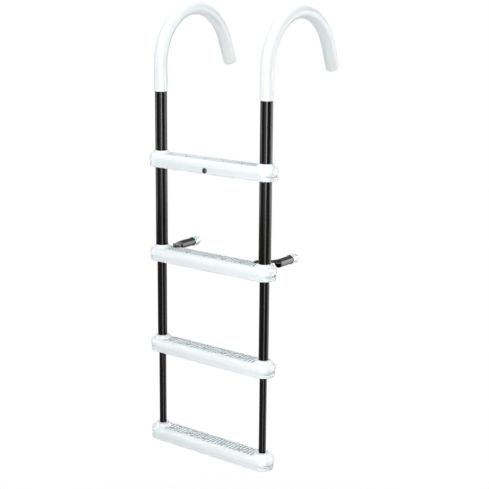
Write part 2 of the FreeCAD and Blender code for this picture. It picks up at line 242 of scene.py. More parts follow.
    def joined(self, parts: Iterable[Any]) -> bpy.types.NodeSocket:
        """Joins several geometries into one.

        Args:
            parts: Sockets with the geometries.

        Returns:
            The socket with all of them.
        """
        node = self.add("GeometryNodeJoinGeometry")
        for part in parts:
            self.feed(node.inputs[0], part)
        return node.outputs[0]

    def real(self, copies: Any) -> bpy.types.NodeSocket:
        """Turns every copy in a geometry into real geometry."""
        return self.add("GeometryNodeRealizeInstances", {0: copies}).outputs[0]

    def painted(self, geometry: Any, material: Any) -> bpy.types.NodeSocket:
        """Makes every copy real and gives the whole one material."""
        feeds = {"Geometry": self.real(geometry), "Material": material}
        return self.add("GeometryNodeSetMaterial", feeds).outputs[0]

    def group(self, tree: bpy.types.NodeTree, **values: Any) -> Sequence[bpy.types.NodeSocket]:
        """Outputs of a placed node group, whose inputs are named with underscores for spaces."""
        feeds = {name.replace("_", " "): value for name, value in values.items()}
        return self.add(tree.bl_idname.replace("Tree", "Group"), feeds, node_tree=tree).outputs

    def close(self, **outputs: Any) -> bpy.types.NodeTree:
        """Feeds the outputs of the node group that this tree is.

        Args:
            outputs: Sockets by the outputs' names.

        Returns:
            The finished tree.
        """
        made = self.find("NodeGroupOutput").inputs
        for name, value in outputs.items():
            self.feed(made[name], value)
        return self.tree


def node_group(
    kind: str, name: str, inputs: dict[str, Any], outputs: Sequence[str] = ("Geometry",)
) -> tuple[Wiring, Any]:
    """Makes an empty node group.

    Args:
        kind: Shader or Geometry.
        name: Name of the group.
        inputs: Default of each named input, or the word for its kind where it has none.
        outputs: Names of the outputs: numbers in a shader, geometry otherwise.

    Returns:
        The group's wiring and the sockets that bring its inputs.
    """
    tree = bpy.data.node_groups.new(name, kind + "NodeTree")
    made = "NodeSocketFloat" if kind == "Shader" else "NodeSocketGeometry"
    for label in outputs:
        tree.interface.new_socket(label, in_out="OUTPUT", socket_type=made)
    for label, value in inputs.items():
        word = value if isinstance(value, str) else type(value).__name__.capitalize()
        socket = tree.interface.new_socket(label, in_out="INPUT", socket_type="NodeSocket" + word)
        if not isinstance(value, str):
            socket.default_value = value
    tree.nodes.new("NodeGroupOutput")
    return Wiring(tree), tree.nodes.new("NodeGroupInput").outputs


def new_material(name: str, constants: dict[str, Any]) -> tuple[bpy.types.Material, Wiring, Any]:
    """Makes a material with a Principled shader.

    Args:
        name: Name of the material.
        constants: Constant inputs of the shader by name.

    Returns:
        The material, its wiring and the shader node.
    """
    material = bpy.data.materials.new(name)
    material.use_nodes = True
    w = Wiring(material.node_tree)
    shader = w.find("ShaderNodeBsdfPrincipled")
    for label, value in constants.items():
        shader.inputs[label].default_value = value
    return material, w, shader


def linked(name: str, data: Any) -> bpy.types.Object:
    """Makes an object of some data and links it to the scene.

    Args:
        name: Name of the object.
        data: Its mesh, lamp or camera.

    Returns:
        The object.
    """
    item = bpy.data.objects.new(name, data)
    bpy.context.scene.collection.objects.link(item)
    return item


@dataclass(frozen=True)
class Ladder:
    """Sizes in metres that the ladder's pieces share."""

    spacing: float = 0.3385
    bend_radius: float = 0.1405
    flare: float = math.radians(22.0)
    sleeve_radius: float = 0.017275
    sleeve_tail: float = 0.070
    leg: float = 0.0706
    first_rim: float = -0.3545
    pitch: float = 0.254
    field_half: float = 0.020
    field_reach: float = 0.14775
    bays: int = 5

    @property
    def rail_y(self) -> float:
        """Y of the rails' axes."""
        return -self.bend_radius

    @property
    def bend_z(self) -> float:
        """Height of the centre of the hooks' bends."""
        return self.sleeve_radius - self.bend_radius

    @property
    def bay(self) -> float:
        """Length of one bay of the tread pattern."""
        return 2 * self.field_reach / self.bays

    def rim(self, step: int) -> float:
        """Height of a step's walking surface."""
        return self.first_rim - (step - 1) * self.pitch


class SurfaceEffects:
    """Shader groups that more than one finish uses, each built once."""

    def __init__(self) -> None:
        """Builds every group."""
        self.draw_lines = self._draw_lines()
        self.moulded_skin = self._moulded_skin()
        self.grime = self._grime()

    @staticmethod
    def _draw_lines() -> bpy.types.NodeTree:
        """Fine lines that run along a drawn tube, with a slow change of tone.

        Returns:
            The group.
        """
        inputs = {"Vector": "Vector", "Fineness": 900.0, "Length Scale": 3.0, "Cloud Scale": 14.0}
        w, given = node_group("Shader", "draw_lines", inputs, ("Lines", "Cloud"))
        x, y, z = w.split(given["Vector"])
        fine = given["Fineness"]
        drawn = w.vector(w.times(x, fine), w.times(y, fine), w.times(z, given["Length Scale"]))
        cloud = w.noise(given["Vector"], Scale=given["Cloud Scale"], Detail=3.0)
        return w.close(Lines=w.noise(drawn, Scale=1.0, Detail=2.0), Cloud=cloud)

    @staticmethod
    def _moulded_skin() -> bpy.types.NodeTree:
        """Fine pebble of a moulded or dipped surface over a slow waviness.

        Returns:
            The group.
        """
        inputs = {
            "Vector": "Vector", "Pebble Scale": 900.0, "Wave Scale": 40.0, "Pebble Share": 0.5,
        }
        w, given = node_group("Shader", "moulded_skin", inputs, ("Height", "Cloud"))
        share = given["Pebble Share"]
        pebble = w.noise(given["Vector"], Scale=given["Pebble Scale"], Detail=1.0)
        wave = w.noise(given["Vector"], Scale=given["Wave Scale"], Detail=2.0)
        height = w.plus(w.times(pebble, share), w.times(wave, w.minus(1.0, share)))
        return w.close(Height=height, Cloud=wave)

    @staticmethod
    def _grime() -> bpy.types.NodeTree:
        """Faint patches of handling marks and salt film.

        Returns:
            The group.
        """
        inputs = {"Vector": "Vector", "Scale": 22.0, "Cover": 0.45, "Contrast": 4.0}
        w, given = node_group("Shader", "grime", inputs, ("Mask",))
        patch = w.noise(given["Vector"], Scale=given["Scale"], Detail=5.0, Roughness=0.6)
        above = w.minus(patch, w.minus(1.0, given["Cover"]))
        return w.close(Mask=w.math("MULTIPLY", above, given["Contrast"], clamp=True))


@dataclass
class Look:
    """What a finish gives to its shader, as sockets or constants."""

    colour: Any
    cloud: Any
    height: Any
    dulling: Any = 0.0
    normal: Any = None


@dataclass(frozen=True)
class Finish:
    """A surface finish that becomes one material: here a moulded plastic.

    The colours are linear and the lengths are in metres.
    """

    name: str
    colour: Colour
    second: Colour
    roughness: float
    spread: float = 0.06
    bump: float = 0.1
    bump_depth: float = 0.0001
    specular: float = 0.5
    metallic: float = 0.0
    subsurface: float = 0.0
    subsurface_scale: float = 0.002

    def build(self, effects: SurfaceEffects) -> bpy.types.Material:
        """Makes the material from what the finish's look gives.

        Args:
            effects: The shared shader groups.

        Returns:
            The material.
        """
        material, w, shader = new_material(self.name, {
            "Metallic": self.metallic,
            "Specular IOR Level": self.specular,
            "Subsurface Weight": self.subsurface,
            "Subsurface Scale": self.subsurface_scale,
        })
        look = self.look(w, w.add("ShaderNodeTexCoord").outputs["Object"], effects)
        drift = w.times(w.minus(look.cloud, 0.5), 2 * self.spread)
        dull = w.math("ADD", w.plus(drift, look.dulling), self.roughness, clamp=True)
        raised = w.bump(look.height, self.bump, self.bump_depth, look.normal)
        w.feed(shader.inputs["Base Color"], look.colour)
        w.feed(shader.inputs["Roughness"], dull)
        w.feed(shader.inputs["Normal"], raised)
        return material

    def look(self, w: Wiring, place: Any, effects: SurfaceEffects) -> Look:
        """Colours that drift with the skin's waviness.

        Args:
            w: Wiring of the material.
            place: Socket with the Object coordinates.
            effects: The shared shader groups.

        Returns:
            The look.
        """
        skin = w.group(effects.moulded_skin, Vector=place)
        colour = w.mix(skin["Cloud"], self.colour, self.second)
        return Look(colour, skin["Cloud"], skin["Height"])


@dataclass(frozen=True)
class DrawnTube(Finish):
    """Anodised tube whose fine draw lines run along one axis, under a little grime."""

    grain: Grain = Grain.UPRIGHT
    grime_tone: float = 0.35
    grime_dulling: float = 0.04

    def look(self, w: Wiring, place: Any, effects: SurfaceEffects) -> Look:
        """Draw lines along the tube, with patches of the second colour.

        Args:
            w: Wiring of the material.
            place: Socket with the Object coordinates.
            effects: The shared shader groups.

        Returns:
            The look.
        """
        turn = (math.radians(self.grain.value), 0.0, 0.0)
        place = w.add("ShaderNodeMapping", {"Vector": place, "Rotation": turn}).outputs[0]
        drawn = w.group(effects.draw_lines, Vector=place)
        grime = w.group(effects.grime, Vector=place)["Mask"]
        colour = w.mix(w.times(grime, self.grime_tone), self.colour, self.second)
        return Look(colour, drawn["Cloud"], drawn["Lines"], w.times(grime, self.grime_dulling))


@dataclass(frozen=True)
class StepPlastic(Finish):
    """White moulding with a dull ribbed field and fine shoulder lines, with painted shade on the
    field's floor and walls, in the collar gaps, along the rear rim and in dark dots for holes.

    Heights are measured from the walking surface of the nearest step. A band gives the two ends
    and the soft edge of a mask.
    """

    ladder: Ladder = Ladder()
    pebble_share: float = 0.25
    seam: float = -0.0175
    tread_lean: float = 0.14
    tread_side: float = 0.010
    base_lean: float = 0.06
    base_side: float = 0.014
    edge: float = 0.0002
    floor_band: Band = (-0.0024, -0.00148, 0.00006)
    floor_dulling: float = 0.3
    # Painted shade: the sunk field's floor is tinted greyer.
    floor_tint: Colour = (0.46, 0.525, 0.545, 1.0)
    wall_band: Band = (-0.0015, -0.0010, 0.00012)
    # Painted shade: the field's walls, and the grip crowns' lower sides at that height, are tinted
    # darker.
    wall_tint: Colour = (0.55, 0.60, 0.615, 1.0)
    ring_band: Band = (0.0157, 0.0168, 0.0003)
    ring_level: Band = (0.0065, 0.0072, 0.0002)
    ring_strength: float = 0.75
    shoulder_level: Band = (-0.0095, 0.0, 0.0002)
    dash_share: Band = (0.04, 0.72, 0.02)
    dash_rows: tuple[float, float] = (-0.0081, -0.0069)
    dash_width: float = 0.0004
    dash_edge: float = 0.0003
    dash_strength: float = 0.3
    bay_edge: float = 0.01
    ridge_row: float = 0.0042
    ridge_width: float = 0.0012
    ridge_edge: float = 0.0004
    ridge_end: float = 0.001
    ridge_strength: float = 0.7
    # Grey of the shoulder dashes and of the painted shade in the collar gaps and along the rear
    # rim.
    seam_tint: Colour = (0.42, 0.46, 0.48, 1.0)
    vent_row: float = 0.0025
    vent_radius: float = 0.0022
    vent_edge: float = 0.0004
    vent_level: Band = (-0.004, 0.001, 0.0002)
    # Painted shade: near-black inside of the rim's holes.
    vent_tint: Colour = (0.05, 0.06, 0.065, 1.0)

    def look(self, w: Wiring, place: Any, effects: SurfaceEffects) -> Look:
        """Plain skin, whose field has its floor and the walls between its ribs tinted greyer and
        darker as painted shade in the recess.

        Args:
            w: Wiring of the material.
            place: Socket with the Object coordinates.
            effects: The shared shader groups.

        Returns:
            The look.
        """
        size = self.ladder
        skin = w.group(effects.moulded_skin, Vector=place, Pebble_Share=self.pebble_share)
        x, y, z = w.split(place)
        over = w.math("WRAP", w.minus(z, size.first_rim), size.pitch / 2, -size.pitch / 2)
        field = self.field_mask(w, x, y)
        floor = w.times(field, w.band(over, *self.floor_band))
        walls = w.times(field, w.band(over, *self.wall_band))
        fine = w.most(self.shoulder_lines(w, x, y, over), self.seam_rings(w, x, y, over))
        colour = w.mix(skin["Cloud"], self.colour, self.second)
        # Painted shade in the sunk field: greyer floor, darker walls between the ribs.
        colour = w.mix(walls, w.mix(floor, colour, self.floor_tint), self.wall_tint)
        # Grey shoulder dashes, with painted shade in the collar gaps and along the rear rim.
        colour = w.mix(fine, colour, self.seam_tint)
        # Painted shade: dark dots stand in for the inside of holes in the rear rim.
        colour = w.mix(self.vent_dots(w, x, y, over), colour, self.vent_tint)
        dulling = w.times(floor, self.floor_dulling)
        return Look(colour, skin["Cloud"], skin["Height"], dulling, self.drafted(w, over))

    def drafted(self, w: Wiring, over: Any) -> Any:
        """Normal of sides that lean in a little above and below the seam, as a mould needs.

        Args:
            w: Wiring of the material.
            over: Height over the walking surface.

        Returns:
            The socket with the normal.
        """
        above = w.minus(over, self.seam)
        tread = w.times(w.least(w.most(above, 0.0), self.tread_side), -self.tread_lean)
        base = w.times(w.most(w.least(above, 0.0), -self.base_side), self.base_lean)
        return w.bump(w.plus(tread, base), strength=1.0, distance=1.0, normal=None)

    def field_mask(self, w: Wiring, x: Any, y: Any) -> Any:
        """Mask of the plan of the sunk field, with the walls round it.

        Args:
            w: Wiring of the material.
            x: Place along the step.
            y: Place across the step.

        Returns:
            The socket with the mask.
        """
        half = self.ladder.field_half + self.edge
        reach = self.ladder.field_reach + self.edge
        across = w.band(y, self.ladder.rail_y - half, self.ladder.rail_y + half, self.edge)
        return w.times(w.band(x, -reach, reach, self.edge), across)

    def seam_rings(self, w: Wiring, x: Any, y: Any, over: Any) -> Any:
        """Mask of the fine ring of painted shade on top of each collar, in the gap where tube or
        adapter passes through it.

        Args:
            w: Wiring of the material.
            x: Place along the step.
            y: Place across the step.
            over: Height over the walking surface.

        Returns:
            The socket with the mask.
        """
        dx = w.minus(w.math("ABSOLUTE", x), self.ladder.spacing / 2)
        ring = w.band(w.distance(dx, w.minus(y, self.ladder.rail_y)), *self.ring_band)
        return w.times(ring, w.band(over, *self.ring_level), self.ring_strength)

    def bays_along(self, w: Wiring, x: Any) -> Any:
        """Place along a step, counted in bays from the left end of its field."""
        return w.per(w.plus(x, self.ladder.field_reach), self.ladder.bay)

    def shoulder_lines(self, w: Wiring, x: Any, y: Any, over: Any) -> Any:
        """Mask of the double line on each bay's front shoulder and of a painted shade line along
        the rear rim.

        Args:
            w: Wiring of the material.
            x: Place along the step.
            y: Place across the step.
            over: Height over the walking surface.

        Returns:
            The socket with the mask.
        """
        size = self.ladder
        along = self.bays_along(w, x)
        share = w.band(w.math("FRACT", along), *self.dash_share)
        dash = w.times(share, w.band(along, 0.0, float(size.bays), self.bay_edge))
        front = size.rail_y - size.field_half
        rows = [
            w.band(y, front + row, front + row + self.dash_width, self.dash_edge)
            for row in self.dash_rows
        ]
        dashes = w.times(dash, w.most(*rows), self.dash_strength)
        # Painted shade: a grey line on the rear rim stands in for the edge's shading.
        rear = size.rail_y + size.field_half + self.ridge_row
        rear_shade = w.times(
            w.band(x, -size.field_reach, size.field_reach, self.ridge_end),
            w.band(y, rear, rear + self.ridge_width, self.ridge_edge),
            self.ridge_strength,
        )
        return w.times(w.band(over, *self.shoulder_level), w.most(dashes, rear_shade))

    def vent_dots(self, w: Wiring, x: Any, y: Any, over: Any) -> Any:
        """Mask of small dots painted dark on the rear rim as the shade inside holes, one where each
        bay meets the next.

        Args:
            w: Wiring of the material.
            x: Place along the step.
            y: Place across the step.
            over: Height over the walking surface.

        Returns:
            The socket with the mask.
        """
        along = self.bays_along(w, x)
        dx = w.times(w.minus(along, w.math("ROUND", along)), self.ladder.bay)
        dy = w.minus(y, self.ladder.rail_y + self.ladder.field_half + self.vent_row)
        dot = w.under(w.distance(dx, dy), self.vent_radius, self.vent_edge)
        inner = w.band(along, 0.5, self.ladder.bays - 0.5, self.bay_edge)
        return w.times(dot, inner, w.band(over, *self.vent_level))


@dataclass(frozen=True)
class ScrewSteel(Finish):
    """Blackened screw head with a bright steel middle round a cross recess, which is painted dark
    as its shade and sunk by the bump.
    """

    centres: tuple[tuple[float, float], ...] = ()
    worn: float = 0.0031
    worn_edge: float = 0.0008
    arm: float = 0.0019
    slot: float = 0.0008
    slot_edge: float = 0.0002
    slot_depth: float = 6.0
    pebble_scale: float = 2600.0

    def look(self, w: Wiring, place: Any, effects: SurfaceEffects) -> Look:
        """A bright middle at each centre, with a cross painted dark as the recess's shade.

        Args:
            w: Wiring of the material.
            place: Socket with the Object coordinates.
            effects: The shared shader groups.

        Returns:
            The look.
        """
        x, y, _ = w.split(place)
        bright, cross = 0.0, 0.0
        for cx, cy in self.centres:
            dx = w.math("ABSOLUTE", w.minus(x, cx))
            dy = w.math("ABSOLUTE", w.minus(y, cy))
            bright = w.most(bright, w.under(w.distance(dx, dy), self.worn, self.worn_edge))
            for long, thin in ((dx, dy), (dy, dx)):
                within = w.under(long, self.arm, self.slot_edge)
                cross = w.most(cross, w.times(within, w.under(thin, self.slot / 2, self.slot_edge)))
        skin = w.group(effects.moulded_skin, Vector=place, Pebble_Scale=self.pebble_scale)
        # Painted shade: the cross recess takes the dark colour, besides its bump.
        steel = w.times(bright, w.minus(1.0, cross))
        colour = w.mix(steel, self.second, self.colour)
        height = w.minus(skin["Height"], w.times(cross, self.slot_depth))
        return Look(colour, skin["Cloud"], height)


def lathe(
    name: str, profile: Iterable[tuple[float, float]], axis: Matrix, sides: int = 64
) -> bpy.types.Object:
    """Turns a profile about the local Z axis into a closed mesh with smooth shading.

    Args:
        name: Name of the new object.
        profile: Pairs of radius and height from one end to the other.
        axis: Where the local Z axis lies.
        sides: Number of faces round the axis.

    Returns:
        The object, linked to the scene, at the origin.
    """
    work = bmesh.new()
    angles = [2 * math.pi * i / sides for i in range(sides)]
    rings = []
    for radius, height in profile:
        turned = angles if radius > 0.0 else [0.0]
        rings.append([
            work.verts.new((radius * math.cos(a), radius * math.sin(a), height)) for a in turned
        ])
    for low, high in zip(rings, rings[1:]):
        for i in range(sides):
            turn = ((low, i), (low, i + 1), (high, i + 1), (high, i))
            unique = list(dict.fromkeys(ring[k % sides % len(ring)] for ring, k in turn))
            if len(unique) > 2:
                work.faces.new(unique)
    bmesh.ops.recalc_face_normals(work, faces=work.faces)
    work.transform(axis)
    mesh = bpy.data.meshes.new(name)
    work.to_mesh(mesh)
    work.free()
    for polygon in mesh.polygons:
        polygon.use_smooth = True
    return linked(name, mesh)


def grown(name: str, tree: bpy.types.NodeTree, values: dict[str, Any]) -> bpy.types.Object:
    """Runs a Geometry Nodes tree and keeps its result as a plain mesh.

    Args:
        name: Name of the new object.
        tree: The tree, which needs no input geometry.
        values: Its inputs by name.

    Returns:
        The object with the finished mesh, at the origin.
    """
    seed = linked(name + "_source", bpy.data.meshes.new(name + "_source"))
    modifier = seed.modifiers.new("grow", "NODES")
    modifier.node_group = tree
    sockets = {s.name: s.identifier for s in tree.interface.items_tree if s.in_out == "INPUT"}
    for label, value in values.items():
        modifier[sockets[label]] = value
    graph = bpy.context.evaluated_depsgraph_get()
    mesh = bpy.data.meshes.new_from_object(seed.evaluated_get(graph))
    mesh.name = name
    seed.modifiers.remove(modifier)
    bpy.data.objects.remove(seed)
    return linked(name, mesh)


class Paints:
    """Every material of the ladder and which node takes it."""

    def __init__(self, ladder: Ladder) -> None:
        """Makes the materials for a ladder's sizes.

        Args:
            ladder: The ladder's sizes.
        """
        effects = SurfaceEffects()
        centres = []
        for side in Side:
            low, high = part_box("standoff_pivot_" + side.word)
            centres.append(((low.x + high.x) / 2, (low.y + high.y) / 2))
        self.tube = DrawnTube(
            "black_anodised_tube", (0.0036, 0.0024, 0.0019, 1), (0.009, 0.0075, 0.0068, 1),
            roughness=0.15, spread=0.03, bump=0.06, bump_depth=0.00003, specular=0.07,
        ).build(effects)
        self.arm = DrawnTube(
            "brown_black_tube", (0.010, 0.0065, 0.005, 1), (0.026, 0.021, 0.018, 1),
            roughness=0.26, spread=0.08, bump_depth=0.00004, specular=0.18, grain=Grain.TO_THE_BOAT,
        ).build(effects)
        self.step = StepPlastic(
            "white_step_plastic", (0.86, 0.88, 0.885, 1), (0.83, 0.855, 0.865, 1),
            roughness=0.3, spread=0.04, bump=0.05, bump_depth=0.00004, specular=0.22, ladder=ladder,
        ).build(effects)
        self.sleeve = Finish(
            "white_vinyl_sleeve", (0.88, 0.895, 0.895, 1), (0.85, 0.87, 0.87, 1), roughness=0.45,
            spread=0.05, bump=0.08, bump_depth=0.00008, specular=0.25, subsurface=0.15,
        ).build(effects)
        self.cap = Finish(
            "cool_white_cap", (0.72, 0.80, 0.80, 1), (0.68, 0.77, 0.78, 1),
            roughness=0.34, spread=0.05, specular=0.45, subsurface=0.35,
        ).build(effects)
        self.guide = Finish(
            "white_guide", (0.82, 0.84, 0.845, 1), (0.77, 0.80, 0.81, 1),
            roughness=0.4, spread=0.05, bump=0.08, bump_depth=0.00008,
        ).build(effects)
        self.stud = Finish(
            "black_stud", (0.008, 0.008, 0.008, 1), (0.012, 0.012, 0.012, 1),
            roughness=0.12, spread=0.03, bump=0.05, bump_depth=0.00005,
        ).build(effects)
        self.screw = ScrewSteel(
            "blackened_screw", (0.60, 0.58, 0.55, 1), (0.02, 0.02, 0.02, 1),
            roughness=0.32, bump=0.3, metallic=1.0, centres=tuple(centres),
        ).build(effects)

    def for_node(self, name: str) -> bpy.types.Material:
        """Material of a CAD node.

        Args:
            name: The node's name.

        Returns:
            Its material.
        """
        starts = {
            ("rail", "middle_tube", "lower_tube"): self.tube,
            "standoff_arm": self.arm,
            "standoff_cap": self.cap,
            "standoff_pivot": self.screw,
            "hook_sleeve": self.sleeve,
            "step_1_stud": self.stud,
        }
        for start, material in starts.items():
            if name.startswith(start):
                return material
        return self.step if name.endswith(("tread", "base")) else self.guide

    def dress(self, nodes: dict[str, bpy.types.Object]) -> None:
        """Gives every CAD node its material.

        Args:
            nodes: The CAD nodes' objects by name.
        """
        for name, node in nodes.items():
            material = self.for_node(name)
            if not node.material_slots:
                node.data.materials.append(material)
            for place in node.material_slots:
                place.material = material
            LOG.info("%s takes %s", name, material.name)


class PathShapes:
    """Geometry groups that lay a bent line and turn a line into a tube with rounded ends."""

    def __init__(self) -> None:
        """Builds both groups."""
        self.bent_path = self._bent_path()
        self.soft_tube = self._soft_tube()

    @staticmethod
    def eased(w: Wiring, share: Any, ease: Any) -> Any:
        """Moves evenly spread shares of a line towards its two ends, where it is rounded."""
        wave = w.math("SINE", w.times(share, 2 * math.pi))
        return w.minus(share, w.per(w.times(wave, ease), 2 * math.pi))

    @classmethod
    def _bent_path(cls) -> bpy.types.NodeTree:
        """Line that runs along +X, turns towards +Y round an arc and runs straight on.

        Returns:
            The group.
        """
        inputs = {"Points": 20, "First": 0.1, "Radius": 0.1, "Turn": 1.0, "Last": 0.1, "Ease": 0.9}
        w, given = node_group("Geometry", "bent_path", inputs)
        points, first, radius, turn, last, ease = (given[label] for label in inputs)
        line = w.add("GeometryNodeMeshLine", {"Count": points}, mode="OFFSET").outputs[0]
        index = w.add("GeometryNodeInputIndex").outputs[0]
        share = w.per(index, w.minus(points, 1.0))
        arc = w.times(turn, radius)
        run = w.times(cls.eased(w, share, ease), w.plus(first, arc, last))
        past = w.minus(run, first)
        angle = w.most(w.least(w.per(past, radius), turn), 0.0)
        after = w.most(w.minus(past, arc), 0.0)
        bend_x = w.times(w.math("SINE", angle), radius)
        bend_y = w.times(w.minus(1.0, w.math("COSINE", angle)), radius)
        x = w.plus(w.least(run, first), bend_x, w.times(after, w.math("COSINE", turn)))
        y = w.plus(bend_y, w.times(after, w.math("SINE", turn)))
        return w.close(Geometry=w.placed(line, x, y, 0.0))

    @staticmethod
    def _soft_tube() -> bpy.types.NodeTree:
        """Closed round tube along each line, whose ends narrow by a quarter round.

        Returns:
            The group.
        """
        inputs = {
            "Path": "Geometry", "Radius": 0.01, "Start Round": 0.001, "Start Drop": 0.001,
            "End Round": 0.001, "End Drop": 0.001, "Sides": 8,
        }
        w, given = node_group("Geometry", "soft_tube", inputs)
        curve = w.add("GeometryNodeMeshToCurve", {0: given["Path"]}).outputs[0]
        run = w.add("GeometryNodeSplineParameter").outputs["Length"]
        whole = w.add("GeometryNodeSplineLength").outputs["Length"]
        radius = given["Radius"]
        for word, away in (("Start", run), ("End", w.minus(whole, run))):
            near = w.minus(1.0, w.per(away, given[word + " Round"], clamp=True))
            level = w.math("SQRT", w.minus(1.0, w.times(near, near)))
            radius = w.minus(radius, w.times(w.minus(1.0, level), given[word + " Drop"]))
        sized = w.add("GeometryNodeSetCurveRadius", {"Curve": curve, "Radius": radius})
        circle = {"Resolution": given["Sides"], "Radius": 1.0}
        ring = w.add("GeometryNodeCurvePrimitiveCircle", circle, mode="RADIUS")
        tube = w.add("GeometryNodeCurveToMesh", {
            "Curve": sized.outputs[0],
            "Profile Curve": ring.outputs[0],
            "Scale": w.add("GeometryNodeInputRadius").outputs[0],
            "Fill Caps": True,
        })
        soft = w.add("GeometryNodeSetShadeSmooth", {"Geometry": tube.outputs[0]})
        return w.close(Geometry=soft.outputs[0])


@dataclass
class HookSleeves:
    """Soft vinyl sleeves over the two hooks, grown along the bend."""

    ladder: Ladder
    shapes: PathShapes
    sides_round: int = 48
    points: int = 150
    ease: float = 0.96
    lip: float = 0.00035
    lip_length: float = 0.005
    wall: float = 0.0013
    tip_round: float = 0.006

    def tree(self) -> bpy.types.NodeTree:
        """Geometry Nodes tree that lays the sleeve along tail, bend and flared leg.

        Returns:
            The tree.
        """
        size = self.ladder
        inputs = {
            "Side X": size.spacing / 2,
            "Bend Radius": size.bend_radius,
            "Foot Height": size.bend_z - size.sleeve_tail,
            "Tail": size.sleeve_tail,
            "Leg": size.leg,
            "Flare": size.flare,
            "Radius": size.sleeve_radius,
            "Lip": self.lip,
            "Tip Round": self.tip_round,
            "Vinyl": "Material",
        }
        w, given = node_group("Geometry", "hook_sleeve", inputs)
        path = w.group(
            self.shapes.bent_path, Points=self.points, First=given["Tail"],
            Radius=given["Bend Radius"], Turn=w.minus(math.pi, given["Flare"]),
            Last=given["Leg"], Ease=self.ease,
        )[0]
        along, across, _ = w.position()
        y = w.minus(across, given["Bend Radius"])
        placed = w.placed(path, given["Side X"], y, w.plus(along, given["Foot Height"]))
        run = w.add("GeometryNodeSplineParameter").outputs["Length"]
        rolled = w.minus(1.0, w.per(run, self.lip_length, clamp=True))
        tube = w.group(
            self.shapes.soft_tube, Path=placed, Start_Round=self.wall, Start_Drop=self.wall,
            End_Round=given["Tip Round"], End_Drop=given["Tip Round"], Sides=self.sides_round,
            Radius=w.plus(given["Radius"], w.times(rolled, given["Lip"])),
        )[0]
        return w.close(Geometry=w.painted(tube, given["Vinyl"]))

    def build(self, vinyl: bpy.types.Material) -> None:
        """Grows both sleeves and hides the plain ones.

        Args:
            vinyl: Their material.
        """
        tree = self.tree()
        for side in Side:
            name = "vinyl_sleeve_" + side.word
            values = {"Side X": side.value * self.ladder.spacing / 2, "Vinyl": vinyl}
            piece = grown(name, tree, values)
            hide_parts("hook_sleeve_" + side.word)
            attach(piece, "upper_frame")
            LOG.info("%s has %d faces", name, len(piece.data.polygons))


